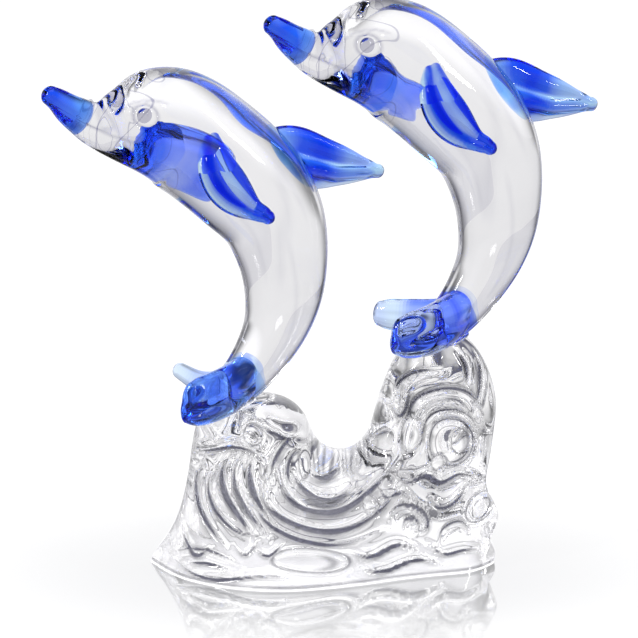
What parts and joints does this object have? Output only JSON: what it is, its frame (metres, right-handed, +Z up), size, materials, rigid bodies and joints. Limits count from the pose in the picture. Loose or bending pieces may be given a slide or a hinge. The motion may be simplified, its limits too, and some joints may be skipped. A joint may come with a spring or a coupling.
{
  "type": "glass dolphin figurine",
  "caption": "Leaping dolphins of clear crystal glass with blue beaks, fins and flukes, side by side on a cast glass wave base.",
  "frame": {"origin": "middle of the wave's footprint on the floor", "axes": "+X from the lower dolphin towards the higher one, so the heads point to -X; -Y is the front; +Z up"},
  "size_m": [0.1404, 0.0476, 0.1485],
  "materials": {
    "clear_crystal": "polished",
    "blue_crystal": "polished",
    "clear_adhesive": "clear"
  },
  "bodies": {
    "root": {"left_body": "clear_crystal", "left_beak_tip": "blue_crystal", "left_dorsal_fin": "blue_crystal", "left_pectoral_near": "blue_crystal", "left_pectoral_far": "blue_crystal", "left_fluke_near": "blue_crystal", "left_fluke_far": "blue_crystal", "left_eye_near": "clear_crystal", "left_eye_far": "clear_crystal", "left_bond_film": "clear_adhesive", "right_body": "clear_crystal", "right_beak_tip": "blue_crystal", "right_dorsal_fin": "blue_crystal", "right_pectoral_near": "blue_crystal", "right_pectoral_far": "blue_crystal", "right_fluke_near": "blue_crystal", "right_fluke_far": "blue_crystal", "right_eye_near": "clear_crystal", "right_eye_far": "clear_crystal", "right_bond_film": "clear_adhesive", "wave_base": "clear_crystal"}
  },
  "joints": []
}
